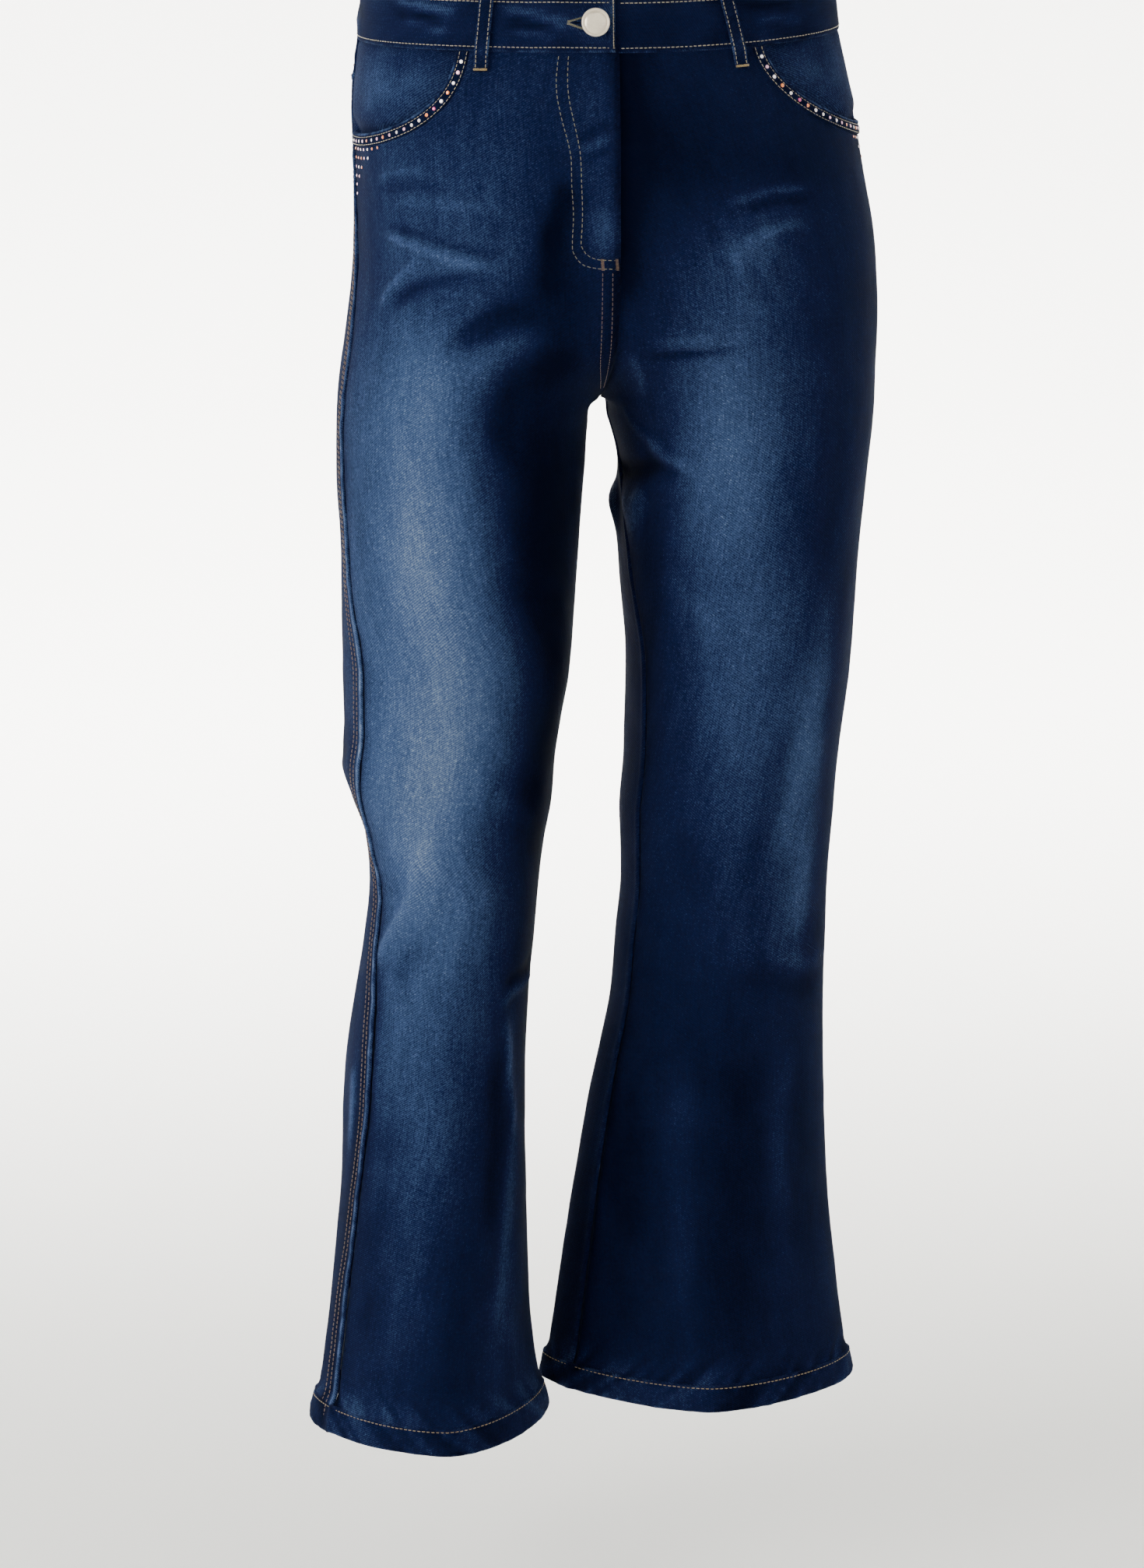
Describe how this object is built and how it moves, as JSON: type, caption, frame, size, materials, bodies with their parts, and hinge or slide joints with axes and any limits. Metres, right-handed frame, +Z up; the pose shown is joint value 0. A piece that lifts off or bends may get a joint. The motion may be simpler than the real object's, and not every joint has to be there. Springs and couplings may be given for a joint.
{
  "type": "wide leg jeans",
  "caption": "Women's cropped wide leg jeans in dark washed denim, standing as when worn: hollow, with a waistband, button, pocket scoops edged with stones, and flared hems.",
  "frame": {"origin": "centre of the waist, at half the height of the waistband", "axes": "+Z up the body, -Y to the wearer's front, +X to the wearer's left"},
  "size_m": [0.3739, 0.2479, 0.9556],
  "materials": {
    "denim": "stretch denim twill, dark indigo, washed lighter down the legs",
    "band_denim": "unwashed dark indigo denim twill",
    "button_metal": "satin pale silver with a pearly tone"
  },
  "bodies": {
    "root": {"front_right": "denim", "front_left": "denim", "back_right": "denim", "back_left": "denim", "yoke_right": "denim", "yoke_left": "denim", "hem_right": "denim", "hem_left": "denim", "hip_piece_right": "denim", "hip_piece_left": "denim", "pocket_band_right": "band_denim", "pocket_band_left": "band_denim", "back_pocket_right": "denim", "back_pocket_left": "denim", "waistband": "band_denim", "fly_shield": "denim", "belt_loop_front_right": "band_denim", "belt_loop_front_left": "band_denim", "belt_loop_back_right": "band_denim", "belt_loop_back_left": "band_denim", "belt_loop_back_centre": "band_denim", "button": "button_metal"}
  },
  "joints": []
}
